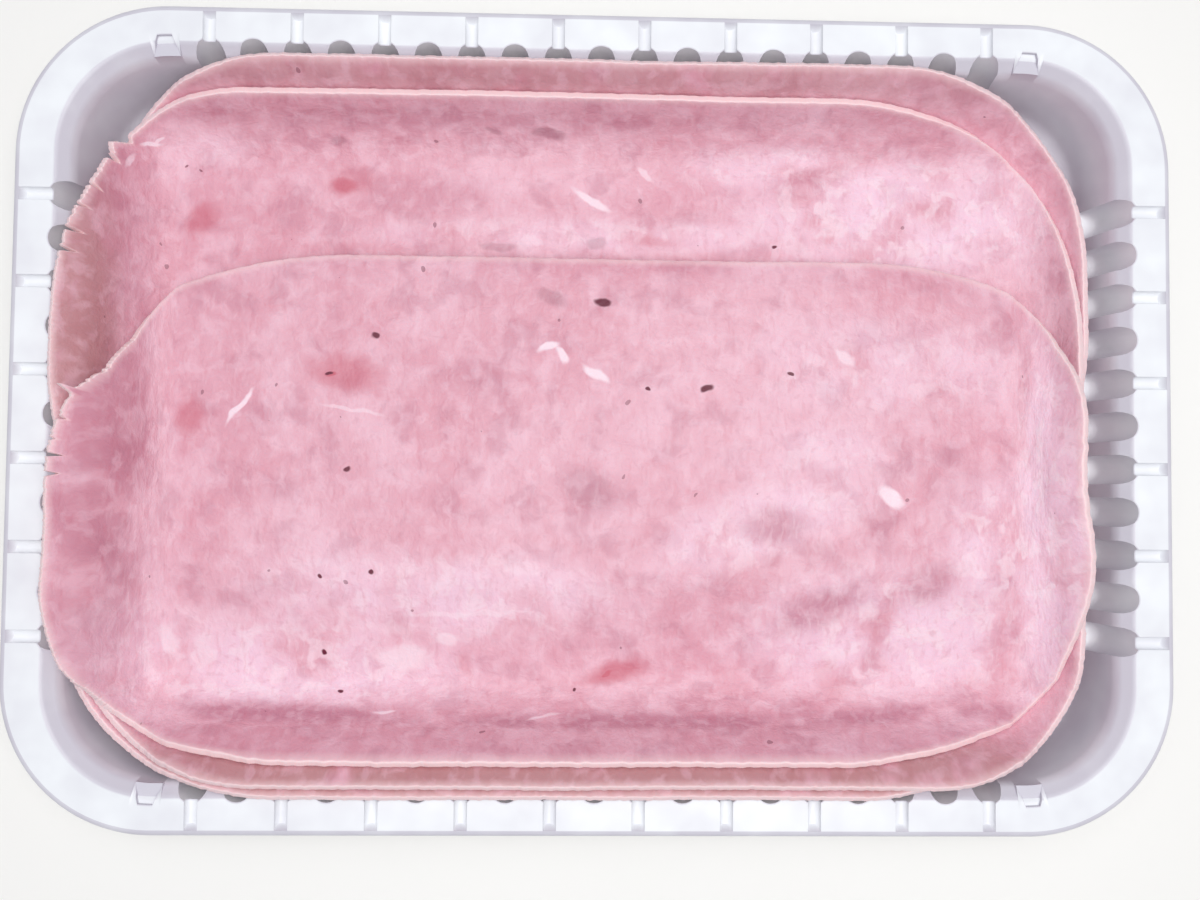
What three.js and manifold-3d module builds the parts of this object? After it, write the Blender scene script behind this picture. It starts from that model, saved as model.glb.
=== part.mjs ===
// An open pack of leg ham: a shallow white thermoformed tray with ribbed rim and fluted walls,
// and five thin slices of pressed ham laid in it in two overlapping groups, edges curled up the walls.
// Millimetres, +Z up. The origin is on the table under the middle of the tray; +X runs along the tray.
import * as THREE from "three";
import { mergeVertices } from "three/addons/utils/BufferGeometryUtils.js";
import Module from "manifold-3d";

const wasm = await Module();
wasm.setup();
const { degToRad } = THREE.MathUtils;

// ---- Driving dimensions ------------------------------------------------------------------------

// Half sizes x, y and corner radius r of the tray's rounded-rectangle lines.
const MOUTH = { x: 105.4, y: 72.7, r: 21.5 }; // inner edge of the rim
const RIM = { x: 112.2, y: 78.9, r: 28 }; // outer edge of the rim's flat top
const LIP = { x: 113.9, y: 80.4, r: 29.6 }; // lowest edge of the turned-down lip
const TRAY_HEIGHT = 18;
const SHEET = 0.8; // thickness of the thermoformed sheet
const LIP_DROP = 3.4;
const LIP_SHOULDER = { out: 1.1, down: 0.7 }; // where the lip starts to turn down
const EASE = { in: 2.4, deep: 2 }; // sloping band between the rim and the wall
const DRAFT = degToRad(12);
const FOOT_BEND = 4; // radius between floor and wall

const RIB_PITCH = 17;
const RIBS_LONG = 10; // across the rim, on each long side
const RIBS_SHORT = 6;
const GROOVE = { half: 1.25, deep: 1.3, heel: 0.65, slope: 0.8 }; // one rib's groove, open at the wall
const FLUTE_RADIUS = 2.9; // half-round flutes in the wall, two to each rib
const FLUTE_BACK = 4; // corner radius of the six-sided form behind a flute
const FLUTE_FOOT = 5; // height of their lower end
const FLUTE_FACETS = 8;
const FLUTE_BACK_FACETS = 6;
const LUG = { x: 85, wide: 2.8, narrow: 1.3, level: 1.1, inward: 2.4, outward: 1.4, deep: 8 };

const THICK = 1.7; // thickness of a slice of ham
const GAP = 0.3; // between neighbouring solids
const PITCH = THICK + GAP; // rise of each slice lying on another
const DRAPE = { past: 9, over: 12 }; // a slice sinks from `past` an edge below it, over a distance
const CURL_BEND = 17; // radius at which the lowest slice leaves the floor for the wall
const CURL_CLEAR = 0.45; // clearance of the lowest slice from the wall
const FLARE = { bend: 2, angle: Math.atan2(EASE.deep, EASE.in), below: 0.5 }; // over the mouth's edge

const WHITE_PLASTIC = { color: 0xf1f2f8, roughness: 0.35, metalness: 0 };
const HAM = { color: 0xdca3b3, roughness: 0.5, metalness: 0 };

// ---- Solids ------------------------------------------------------------------------------------

// A closed mesh of triangles as a solid that can be joined and cut.
function solid(geometry) {
  const bare = geometry.clone();
  bare.deleteAttribute("normal");
  bare.deleteAttribute("uv");
  const merged = mergeVertices(bare, 1e-4);
  const vertProperties = new Float32Array(merged.attributes.position.array);
  const triVerts = new Uint32Array(merged.index.array);
  return new wasm.Manifold(new wasm.Mesh({ numProp: 3, vertProperties, triVerts }));
}

const union = (solids) => solids.reduce((whole, piece) => whole.add(piece));

// A solid as a mesh of the scene.
function meshOf(body, name, finish) {
  const { vertProperties, triVerts } = body.getMesh();
  const geometry = new THREE.BufferGeometry();
  geometry.setAttribute("position", new THREE.Float32BufferAttribute(vertProperties, 3));
  geometry.setIndex([...triVerts]);
  const mesh = new THREE.Mesh(geometry, new THREE.MeshStandardMaterial({ ...finish, flatShading: true }));
  mesh.name = name;
  return mesh;
}

function geometryOf(points, triangles) {
  const geometry = new THREE.BufferGeometry();
  geometry.setAttribute("position", new THREE.Float32BufferAttribute(points.flat(), 3));
  geometry.setIndex(triangles.flat());
  return geometry;
}

// A skin over closed loops with equal numbers of points, given along the profile from the middle of
// the underside round to the middle of the top; a fan closes each end.
function skin(loops) {
  const count = loops[0].length;
  const points = loops.flat();
  const triangles = [];
  for (let k = 0; k + 1 < loops.length; k++)
    for (let i = 0; i < count; i++) {
      const [a, b] = [k * count + i, k * count + ((i + 1) % count)];
      triangles.push([a, b, b + count], [a, b + count, a + count]);
    }
  const first = points.push([0, 0, loops[0][0][2]]) - 1;
  const last = points.push([0, 0, loops.at(-1)[0][2]]) - 1;
  const top = (loops.length - 1) * count;
  for (let i = 0; i < count; i++) {
    const next = (i + 1) % count;
    triangles.push([first, next, i], [last, top + i, top + next]);
  }
  return solid(geometryOf(points, triangles));
}

// A convex prism between two outlines with equal numbers of points.
function prism(lower, upper) {
  const count = lower.length;
  const triangles = [];
  for (let i = 0; i < count; i++) {
    const next = (i + 1) % count;
    triangles.push([i, next, count + next], [i, count + next, count + i]);
    if (i > 0 && next > 0) triangles.push([0, next, i], [count, count + i, count + next]);
  }
  return solid(geometryOf([...lower, ...upper], triangles));
}

// ---- Tray --------------------------------------------------------------------------------------

// A rounded rectangle round the Z axis, counterclockwise: half sizes and radius grown by `grow`.
function ring({ x, y, r }, grow, z) {
  const steps = 8;
  const radius = r + grow;
  const points = [];
  for (let quarter = 0; quarter < 4; quarter++) {
    const right = quarter === 0 || quarter === 3 ? 1 : -1;
    const back = quarter < 2 ? 1 : -1;
    for (let i = 0; i <= steps; i++) {
      const angle = ((quarter + i / steps) * Math.PI) / 2;
      points.push([
        right * (x - r) + radius * Math.cos(angle),
        back * (y - r) + radius * Math.sin(angle),
        z,
      ]);
    }
  }
  return points;
}

// How far inside the mouth the face of the wall stands at height z.
const wallInset = (z) => EASE.in + (TRAY_HEIGHT - EASE.deep - z) * Math.tan(DRAFT);

// The quarter bend between floor and wall, `offset` outside the tray's inner face.
function footBend(offset) {
  const centre = -wallInset(SHEET) - FOOT_BEND * Math.tan(Math.PI / 4 - DRAFT / 2);
  const steps = 3;
  return Array.from({ length: steps + 1 }, (_, i) => {
    const angle = (i / steps) * (Math.PI / 2 - DRAFT);
    const radius = FOOT_BEND + offset;
    return ring(MOUTH, centre + radius * Math.sin(angle), SHEET + FOOT_BEND - radius * Math.cos(angle));
  });
}

// The tray's outer form, filled: floor, wall, the underside of the rim, lip and rim top.
function trayOutside() {
  const easeFoot = TRAY_HEIGHT - EASE.deep - SHEET / 2;
  const lipFoot = TRAY_HEIGHT - LIP_DROP;
  return skin([
    ...footBend(SHEET),
    ring(MOUTH, SHEET - wallInset(easeFoot), easeFoot),
    ring(MOUTH, SHEET / 2, TRAY_HEIGHT - SHEET),
    ring(RIM, -SHEET / 2, TRAY_HEIGHT - SHEET),
    ring(LIP, -SHEET, lipFoot),
    ring(LIP, 0, lipFoot),
    ring(RIM, LIP_SHOULDER.out, TRAY_HEIGHT - LIP_SHOULDER.down),
    ring(RIM, 0, TRAY_HEIGHT),
  ]);
}

// The space inside the tray, up past the rim.
function trayInside() {
  return skin([
    ...footBend(0),
    ring(MOUTH, -EASE.in, TRAY_HEIGHT - EASE.deep),
    ring(MOUTH, 0, TRAY_HEIGHT),
    ring(MOUTH, 0, TRAY_HEIGHT + 1),
  ]);
}

// The tray's four sides: the way each faces, its distance to the mouth's edge and its ribs.
const SIDES = [0, 1, 2, 3].map((quarter) => ({
  turn: (quarter * Math.PI) / 2,
  mouth: quarter % 2 ? MOUTH.y : MOUTH.x,
  rim: quarter % 2 ? RIM.y : RIM.x,
  ribs: quarter % 2 ? RIBS_LONG : RIBS_SHORT,
}));

const ribPlaces = (count) => Array.from({ length: count }, (_, i) => (i - (count - 1) / 2) * RIB_PITCH);
const flutePlaces = (count) =>
  Array.from({ length: 2 * count - 1 }, (_, i) => (i / 2 - (count - 1) / 2) * RIB_PITCH);

// A round-footed post that leans with the wall: a flute to cut out, or the back of one to add.
function fluteBody(side, along, radius, foot, top, facets) {
  const length = (top - foot) / Math.cos(DRAFT);
  const profile = [[0, 0], [radius, radius], [radius, length], [0, length]];
  const post = new THREE.LatheGeometry(profile.map(([r, h]) => new THREE.Vector2(r, h)), facets);
  post.rotateX(Math.PI / 2);
  post.rotateZ(Math.PI / facets);
  post.rotateY(DRAFT);
  post.translate(side.mouth - wallInset(foot), along, foot);
  post.rotateZ(side.turn);
  return solid(post);
}

// A trough across the rim, its outer end sloping: a rib's groove, or with `wall` the body round it.
function grooveBody(side, along, wall) {
  const half = GROOVE.half + wall;
  const deep = GROOVE.deep + wall;
  const top = wall > 0 ? -SHEET / 2 : 1;
  const left = [[-half, top], [-half, -GROOVE.heel], [-half / 2, -deep]];
  const section = [...left, ...left.map(([y, z]) => [-y, z]).reverse()];
  const inner = side.mouth - EASE.in;
  const outer = side.rim + wall;
  const end = (x) => section.map(([y, z]) => [x(z), along + y, TRAY_HEIGHT + z]);
  const body = prism(end(() => inner), end((z) => outer + GROOVE.slope * Math.min(z, 0)));
  return body.rotate([0, 0, THREE.MathUtils.radToDeg(side.turn)]);
}

// A lug under the mouth's edge near each corner of the long sides: the block, or the recess over it.
function lugBody(right, back, lower, upper) {
  const inner = MOUTH.y - LUG.inward;
  const outer = MOUTH.y + LUG.outward;
  const corners = [[-LUG.wide, inner], [LUG.wide, inner], [LUG.narrow, outer], [-LUG.narrow, outer]];
  const outline = (z) => corners.map(([x, y]) => [x, y, z]);
  const body = prism(outline(lower), outline(upper)).translate([LUG.x * right, 0, 0]);
  return back > 0 ? body : body.rotate([0, 0, 180]);
}

function trayBody() {
  const shelf = TRAY_HEIGHT - LUG.level;
  const corners = [[1, 1], [-1, 1], [1, -1], [-1, -1]];
  const lugs = corners.map(([right, back]) => lugBody(right, back, shelf - LUG.deep, shelf));
  const recesses = corners.map(([right, back]) => lugBody(right, back, shelf, TRAY_HEIGHT + 1));
  const added = [];
  const cut = [...recesses];
  for (const side of SIDES) {
    for (const along of flutePlaces(side.ribs)) {
      const backTop = TRAY_HEIGHT - SHEET / 2;
      added.push(fluteBody(side, along, FLUTE_BACK, FLUTE_FOOT - SHEET, backTop, FLUTE_BACK_FACETS));
      cut.push(fluteBody(side, along, FLUTE_RADIUS, FLUTE_FOOT, TRAY_HEIGHT + 1, FLUTE_FACETS));
    }
    for (const along of ribPlaces(side.ribs)) {
      added.push(grooveBody(side, along, SHEET));
      cut.push(grooveBody(side, along, 0));
    }
  }
  const space = lugs.reduce((rest, lug) => rest.subtract(lug), trayInside());
  return union([trayOutside(), ...added]).subtract(union([space, ...cut]));
}

// ---- Ham ---------------------------------------------------------------------------------------

// The lowest slice follows the tray's inside at a small distance. Laid flat, that face is a plane
// with u along the tray and v across it, and every slice is an outline in the plane at a height
// above it. This is the path up a wall: each step is a length and the angle turned through over it.
const CURL = (() => {
  const steep = Math.PI / 2 - DRAFT;
  const risen = SHEET + GAP + CURL_BEND * (1 - Math.cos(steep));
  const run = (TRAY_HEIGHT - EASE.deep - FLARE.below - risen) / Math.sin(steep);
  const back = steep - FLARE.angle;
  return [[CURL_BEND * steep, steep], [run, 0], [FLARE.bend * back, -back], [Infinity, 0]];
})();

// How far inside the mouth the path leaves the floor.
const CURL_INSET = wallInset(SHEET + GAP + CURL_BEND) + (CURL_CLEAR + CURL_BEND) / Math.cos(DRAFT);
const CURL_LINE = { x: MOUTH.x - CURL_INSET, y: MOUTH.y - CURL_INSET, r: MOUTH.r - CURL_INSET };

// The point at a distance `s` along the path and `n` above it, as reach outwards and rise.
function walk(s, n) {
  let [x, z, angle, left] = [0, 0, 0, s];
  for (const [length, turn] of CURL) {
    const part = Math.min(left, length);
    if (turn === 0) {
      x += part * Math.cos(angle);
      z += part * Math.sin(angle);
    } else {
      const radius = length / turn;
      const next = angle + part / radius;
      x += radius * (Math.sin(next) - Math.sin(angle));
      z += radius * (Math.cos(angle) - Math.cos(next));
      angle = next;
    }
    left -= part;
  }
  return { reach: x - n * Math.sin(angle), rise: z + n * Math.cos(angle) };
}

// Where a point (u, v) of the flat plane lies in the tray, `n` above the lowest face.
function place(u, v, n) {
  const overX = Math.max(Math.abs(u) - CURL_LINE.x + CURL_LINE.r, 0);
  const overY = Math.max(Math.abs(v) - CURL_LINE.y + CURL_LINE.r, 0);
  const over = Math.hypot(overX, overY);
  if (over <= CURL_LINE.r) return [u, v, SHEET + GAP + n];
  const { reach, rise } = walk(over - CURL_LINE.r, n);
  const spread = (CURL_LINE.r + reach) / over;
  return [
    Math.sign(u) * (Math.abs(u) - overX + spread * overX),
    Math.sign(v) * (Math.abs(v) - overY + spread * overY),
    SHEET + GAP + rise,
  ];
}

// How far (u, v) is outside a slice's outline, below zero inside it. The outline is a rectangle
// from left to right and front to back, its corners quarter ellipses: `side` along, `end` across.
function outside({ left, right, front, back, corners }, u, v) {
  const onLeft = u < (left + right) / 2;
  const onFront = v < (front + back) / 2;
  const { side, end } = corners[(onLeft ? "left" : "right") + (onFront ? "Front" : "Back")];
  const pastU = Math.max((onLeft ? left - u : u - right) + side, 0);
  const pastV = Math.max((onFront ? front - v : v - back) + end, 0);
  const share = Math.hypot(pastU / side, pastV / end);
  return share > 0 ? Math.hypot(pastU, pastV) * (1 - 1 / share) : -Math.min(side, end);
}

// The slice's left and right ends at v: each corner draws its side in along a quarter ellipse.
function rowEnds({ left, right, front, back, corners }, v) {
  const drawn = ({ side, end }, past) => {
    const part = THREE.MathUtils.clamp((past + end) / end, 0, 1);
    return side * (1 - Math.sqrt(1 - part * part));
  };
  return [
    left + Math.max(drawn(corners.leftBack, v - back), drawn(corners.leftFront, front - v)),
    right - Math.max(drawn(corners.rightBack, v - back), drawn(corners.rightFront, front - v)),
  ];
}

// Lines of the flat plane that every slice's mesh shares, so that stacked slices never cross:
// close together up the curl, then those given for the flat floor.
function sharedLines(line, inner) {
  const bendSteps = 4;
  const bend = Array.from({ length: bendSteps + 1 }, (_, i) => line + (i / bendSteps) * CURL[0][0]);
  const flare = bend.at(-1) + CURL[1][0];
  const outer = [line - CURL_LINE.r, ...bend, flare, flare + CURL[2][0]];
  return [...outer.map((d) => -d), ...inner, ...outer].sort((a, b) => a - b);
}
const U_LINES = sharedLines(CURL_LINE.x, [-74, -64, -54, -44, 0, 44, 54, 64, 74]);
const V_LINES = sharedLines(
  CURL_LINE.y,
  [-44, -36, -28, -25, -20, -15, -10, -5, 0, 5, 10, 14, 18, 24, 30, 40],
);

// The rows of points of a slice: on the shared lines, with a few more close to its two ends.
function rowPlaces({ front, back }) {
  const ends = [0, 0.7, 2.4];
  const clear = 3.6;
  const shared = V_LINES.filter((v) => v > front + clear && v < back - clear);
  return [...ends.map((d) => front + d), ...shared, ...ends.map((d) => back - d)].sort((a, b) => a - b);
}

// The points of the row at v: its two ends, and the shared lines wherever the slice isn't flat.
function rowPoints(slice, v, lift) {
  const [left, right] = rowEnds(slice, v);
  const clear = 1;
  const near = [-DRAPE.over, 0, DRAPE.over];
  const isFlat = (u) =>
    Math.abs(u) < CURL_LINE.x - CURL_LINE.r - 1 &&
    near.every((du) => near.every((dv) => lift(u + du, v + dv) === lift(u, v)));
  const shared = U_LINES.filter((u) => u > left + clear && u < right - clear && !isFlat(u));
  return [left, ...shared, right].map((u) => [u, v]);
}

// Triangles between two neighbouring rows with any numbers of points, from left to right.
function stitch(rows, starts, j) {
  const [low, high] = [rows[j], rows[j + 1]];
  const triangles = [];
  let [a, b] = [0, 0];
  while (a + 1 < low.length || b + 1 < high.length) {
    const lowNext = low[a + 1]?.[0] ?? Infinity;
    const highNext = high[b + 1]?.[0] ?? Infinity;
    const [from, to] = [starts[j] + a, starts[j + 1] + b];
    if (lowNext <= highNext) {
      triangles.push([from, from + 1, to]);
      a += 1;
    } else {
      triangles.push([from, to + 1, to]);
      b += 1;
    }
  }
  return triangles;
}

// One slice: the same points on both faces, joined round the edge. It rises by one pitch over each
// slice below it and sinks past that slice's edge.
function sliceBody(slice, below) {
  const covered = (u, v, other) =>
    1 - THREE.MathUtils.smoothstep(outside(other, u, v), DRAPE.past, DRAPE.past + DRAPE.over);
  const lift = (u, v) => PITCH * below.reduce((sum, other) => sum + covered(u, v, other), 0);
  const rows = rowPlaces(slice).map((v) => rowPoints(slice, v, lift));
  const starts = rows.map((_, j) => rows.slice(0, j).reduce((sum, row) => sum + row.length, 0));
  const flat = rows.flat();
  const face = (n) => flat.map(([u, v]) => place(u, v, lift(u, v) + n));
  const under = starts.slice(1).flatMap((_, j) => stitch(rows, starts, j));
  const lastOf = (j) => starts[j] + rows[j].length - 1;
  const edge = [
    ...rows[0].map((_, i) => i),
    ...starts.slice(1).map((_, j) => lastOf(j + 1)),
    ...rows.at(-1).map((_, i) => lastOf(rows.length - 1) - i).slice(1),
    ...starts.slice(1, -1).reverse(),
  ];
  const upper = flat.length;
  const sides = edge.flatMap((a, k) => {
    const b = edge[(k + 1) % edge.length];
    return [[a, b, upper + b], [a, upper + b, upper + a]];
  });
  const lowerFace = under.map(([a, b, c]) => [a, c, b]);
  const upperFace = under.map((triangle) => triangle.map((i) => i + upper));
  const points = [...face(0), ...face(THICK)];
  const whole = solid(geometryOf(points, [...lowerFace, ...upperFace, ...sides]));
  return slice.tears.reduce((body, tear) => body.subtract(tearBody(slice, tear, lift)), whole);
}

// The wedge that a tear opens at the left edge: `deep` long, `open` wide, its point `slant` back.
function tearBody(slice, { v, deep, open, slant }, lift) {
  const [left] = rowEnds(slice, v);
  const outline = [[left - 2, v - open / 2], [left + deep, v + slant], [left - 2, v + open / 2]];
  const face = (n) => outline.map(([u, w]) => place(u, w, lift(u, w) + n));
  return prism(face(-THICK / 2), face(1.5 * THICK));
}

// The slices from the lowest up. Left, right, front and back are the outline's sides, laid flat.
const corner = (side, end) => ({ side, end });
const SLICES = {
  slice_back_lower: {
    left: -103, right: 104.5, front: -21, back: 78.4,
    corners: {
      leftBack: corner(40, 42), rightBack: corner(46, 48),
      leftFront: corner(39, 39), rightFront: corner(39, 39),
    },
    tears: [],
  },
  slice_back_upper: {
    left: -115, right: 105, front: -30, back: 71.7,
    corners: {
      leftBack: corner(44, 55), rightBack: corner(58, 57),
      leftFront: corner(39, 39), rightFront: corner(39, 39),
    },
    tears: [
      { v: 52, deep: 4.4, open: 1.8, slant: 1.4 },
      { v: 45, deep: 4, open: 1.2, slant: 1.2 },
      { v: 40.5, deep: 3, open: 1, slant: 1 },
      { v: 35.5, deep: 4.4, open: 1.2, slant: 1.6 },
      { v: 31.5, deep: 3.4, open: 1.4, slant: 2 },
    ],
  },
  slice_front_lowest: {
    left: -110, right: 93, front: -81.8, back: 18,
    corners: {
      leftBack: corner(39, 39), rightBack: corner(39, 39),
      leftFront: corner(50, 42), rightFront: corner(42, 42),
    },
    tears: [],
  },
  slice_front_lower: {
    left: -110, right: 105.2, front: -80.6, back: 22,
    corners: {
      leftBack: corner(39, 39), rightBack: corner(39, 39),
      leftFront: corner(46, 44), rightFront: corner(40, 39),
    },
    tears: [],
  },
  slice_front_top: {
    left: -115.3, right: 110.2, front: -77.8, back: 33.5,
    corners: {
      leftBack: corner(68, 44), rightBack: corner(54, 33),
      leftFront: corner(56, 46), rightFront: corner(62, 54),
    },
    tears: [
      { v: -1, deep: 4, open: 1.6, slant: 2 },
      { v: -8, deep: 4, open: 1.2, slant: 2.4 },
      { v: -12, deep: 3, open: 1.4, slant: 1.6 },
    ],
  },
};

// ---- Pack --------------------------------------------------------------------------------------

const pack = new THREE.Group();
pack.name = "ham_pack";
pack.add(meshOf(trayBody(), "tray", WHITE_PLASTIC));
Object.entries(SLICES).forEach(([name, slice], k, all) => {
  const below = all.slice(0, k).map(([, other]) => other);
  pack.add(meshOf(sliceBody(slice, below), name, HAM));
});

export default pack;
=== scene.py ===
"""An open pack of leg ham: five slices lie folded up the sides of a white thermoformed tray.

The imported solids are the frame. Each is replaced here by a finer surface of the same form, worked
out in millimetres and put into its mesh in metres, +Z up, the origin under the middle of the tray.
"""

import logging
import math
from dataclasses import dataclass, field
from enum import Enum

import bpy
import numpy as np
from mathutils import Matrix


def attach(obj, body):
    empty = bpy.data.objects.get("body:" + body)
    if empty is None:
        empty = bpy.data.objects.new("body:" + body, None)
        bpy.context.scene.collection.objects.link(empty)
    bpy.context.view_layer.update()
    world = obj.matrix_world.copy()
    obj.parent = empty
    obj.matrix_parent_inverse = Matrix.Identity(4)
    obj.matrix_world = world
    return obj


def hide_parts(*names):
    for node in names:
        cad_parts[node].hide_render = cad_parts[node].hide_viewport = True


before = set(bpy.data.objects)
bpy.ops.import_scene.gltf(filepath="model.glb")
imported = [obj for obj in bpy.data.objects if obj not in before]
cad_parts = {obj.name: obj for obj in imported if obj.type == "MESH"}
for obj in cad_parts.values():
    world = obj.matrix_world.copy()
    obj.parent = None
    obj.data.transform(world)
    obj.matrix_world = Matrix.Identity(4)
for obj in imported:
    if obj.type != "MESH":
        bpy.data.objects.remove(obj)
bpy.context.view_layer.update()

log = logging.getLogger("ham_pack")

Array = np.ndarray
Socket = bpy.types.NodeSocket
Input = Socket | float | tuple[float, ...]
MM = 0.001
BODY = "root"
FAR = 99.0  # Given in mm as the distance to a flute, rib or lug where none is near.


# ---- Shared tools ------------------------------------------------------------------------------


def linear(colour: str) -> tuple[float, float, float, float]:
    """Turns an sRGB hex colour to linear RGBA.

    Args:
        colour: Six hex digits.

    Returns:
        Red, green, blue and an alpha of 1.
    """
    shares = [int(colour[i : i + 2], 16) / 255 for i in (0, 2, 4)]
    red, green, blue = (c / 12.92 if c <= 0.04045 else ((c + 0.055) / 1.055) ** 2.4 for c in shares)
    return red, green, blue, 1.0


def add(
    tree: bpy.types.NodeTree,
    kind: str,
    sockets: dict[str | int, Input] | None = None,
    **settings: str | bool,
) -> bpy.types.Node:
    """Adds one shader node with its settings, values and links.

    Args:
        tree: The material's nodes.
        kind: The node's type, without the ShaderNode that starts it.
        sockets: A value or a source socket for each input, by name or number.
        settings: The node's own properties.

    Returns:
        The new node.
    """
    made = tree.nodes.new("ShaderNode" + kind)
    for name, value in settings.items():
        setattr(made, name, value)
    for key, value in (sockets or {}).items():
        if isinstance(value, Socket):
            tree.links.new(value, made.inputs[key])
        else:
            made.inputs[key].default_value = value
    return made


def per(size_mm: float) -> float:
    """Gives the texture scale whose pattern has features of that size."""
    return 1 / (size_mm * MM)


def empty_material(name: str) -> tuple[bpy.types.Material, bpy.types.NodeTree]:
    """Makes a material with no nodes yet.

    Args:
        name: The material's name.

    Returns:
        The material and its node tree.
    """
    material = bpy.data.materials.new(name)
    material.use_nodes = True
    material.node_tree.nodes.clear()
    return material, material.node_tree


def smoothstep(x: Array, low: float, high: float) -> Array:
    """Eases from 0 at low to 1 at high: three t squared less two t cubed."""
    t = np.clip((x - low) / (high - low), 0, 1)
    return t * t * (3 - 2 * t)


def closed_surface(
    name: str,
    rings: Array,
    material: bpy.types.Material,
    crease: float,
    marks: dict[str, Array] | None = None,
) -> bpy.types.Object:
    """Makes a closed skin over rings of points, a fan of triangles closing each end.

    The rings run counterclockwise seen from above, from the middle of the upper face outwards,
    over the edge and back in to the middle of the lower face, so every face points outwards.

    Args:
        name: The piece's name.
        rings: Points in mm, shaped (rings, points in a ring, 3).
        material: The finish.
        crease: Edges that turn by more than this angle stay sharp.
        marks: Numbers for the material to read, by name, each shaped (rings, points[, 3]).

    Returns:
        The piece, riding on the body.
    """
    count, around = rings.shape[:2]
    poles = rings[[0, -1]].mean(axis=1)
    points = np.concatenate([rings.reshape(-1, 3), poles]) * MM
    first, last = count * around, count * around + 1
    here = np.arange(around)
    after = (here + 1) % around
    row = np.arange(count - 1)[:, None] * around
    quads = np.stack([row + here, row + around + here, row + around + after, row + after], axis=-1)
    top = np.stack([np.full(around, first), here, after], axis=-1)
    end = (count - 1) * around
    bottom = np.stack([np.full(around, last), end + after, end + here], axis=-1)
    fans = np.concatenate([top, bottom])
    corners = np.concatenate([quads.reshape(-1), fans.reshape(-1)])
    sizes = np.concatenate([np.full(quads.size // 4, 4), np.full(len(fans), 3)])
    mesh = bpy.data.meshes.new(name)
    mesh.vertices.add(len(points))
    mesh.vertices.foreach_set("co", points.astype(np.float32).ravel())
    mesh.loops.add(len(corners))
    mesh.loops.foreach_set("vertex_index", corners.astype(np.int32))
    mesh.polygons.add(len(sizes))
    mesh.polygons.foreach_set("loop_start", np.concatenate([[0], np.cumsum(sizes)[:-1]]).astype(np.int32))
    mesh.update(calc_edges=True)
    mesh.validate()
    mesh.polygons.foreach_set("use_smooth", np.ones(len(sizes), bool))
    mesh.set_sharp_from_angle(angle=crease)
    for key, values in (marks or {}).items():
        flat = values.reshape(count * around, -1)
        ends = values[[0, -1]].reshape(2, around, -1).mean(axis=1)
        full = np.concatenate([flat, ends]).astype(np.float32)
        if full.shape[1] == 3:
            mesh.attributes.new(key, "FLOAT_VECTOR", "POINT").data.foreach_set("vector", full.ravel())
        else:
            mesh.attributes.new(key, "FLOAT", "POINT").data.foreach_set("value", full.ravel())
    mesh.materials.append(material)
    piece = bpy.data.objects.new(name, mesh)
    bpy.context.scene.collection.objects.link(piece)
    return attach(piece, BODY)


# ---- Tray --------------------------------------------------------------------------------------


@dataclass(frozen=True)
class Ring:
    """A rounded rectangle round the Z axis: half sizes and corner radius in mm."""

    x: float
    y: float
    r: float


@dataclass(frozen=True)
class TrayForm:
    """The tray's driving sizes in mm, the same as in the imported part."""

    mouth: Ring = Ring(105.4, 72.7, 21.5)
    rim: Ring = Ring(112.2, 78.9, 28.0)
    lip: Ring = Ring(113.9, 80.4, 29.6)
    height: float = 18.0
    sheet: float = 0.8
    lip_drop: float = 3.4
    shoulder_out: float = 1.1
    shoulder_down: float = 0.7
    ease_in: float = 2.4
    ease_deep: float = 2.0
    draft: float = math.radians(12)
    foot_bend: float = 4.0
    rib_pitch: float = 17.0
    ribs_long: int = 10
    ribs_short: int = 6
    groove_half: float = 1.25
    groove_deep: float = 1.3
    groove_heel: float = 0.65
    groove_slope: float = 0.8
    flute_radius: float = 2.9
    flute_foot: float = 5.0
    flute_round: float = 1.6
    lug_x: float = 85.0
    lug_wide: float = 2.8
    lug_narrow: float = 1.3
    lug_level: float = 1.1
    lug_inward: float = 2.4
    lug_outward: float = 1.4

    def wall_inset(self, z: Array | float) -> Array | float:
        """How far inside the mouth the wall's face stands at height z."""
        return self.ease_in + (self.height - self.ease_deep - z) * math.tan(self.draft)


@dataclass(frozen=True)
class Stations:
    """Places round the tray, counterclockwise, one entry each in every array.

    A ring's point at a station is its corner's centre times `corner`, plus `along`, plus its radius
    times `facing`. `flute`, `rib` and `lug` are distances in mm from the nearest one's middle.
    """

    corner: Array
    along: Array
    facing: Array
    flute: Array
    rib: Array
    lug: Array

    def on(self, ring: Ring, grow: Array | float) -> Array:
        """Gives the points of a ring grown by `grow` at every station.

        Args:
            ring: The ring.
            grow: What is added to its half sizes and radius.

        Returns:
            The points, shaped (stations, 2).
        """
        centre = np.array([ring.x - ring.r, ring.y - ring.r])
        radius = ring.r + np.broadcast_to(np.asarray(grow, float), self.flute.shape)
        return self.corner * centre + self.along + radius[:, None] * self.facing


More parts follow.
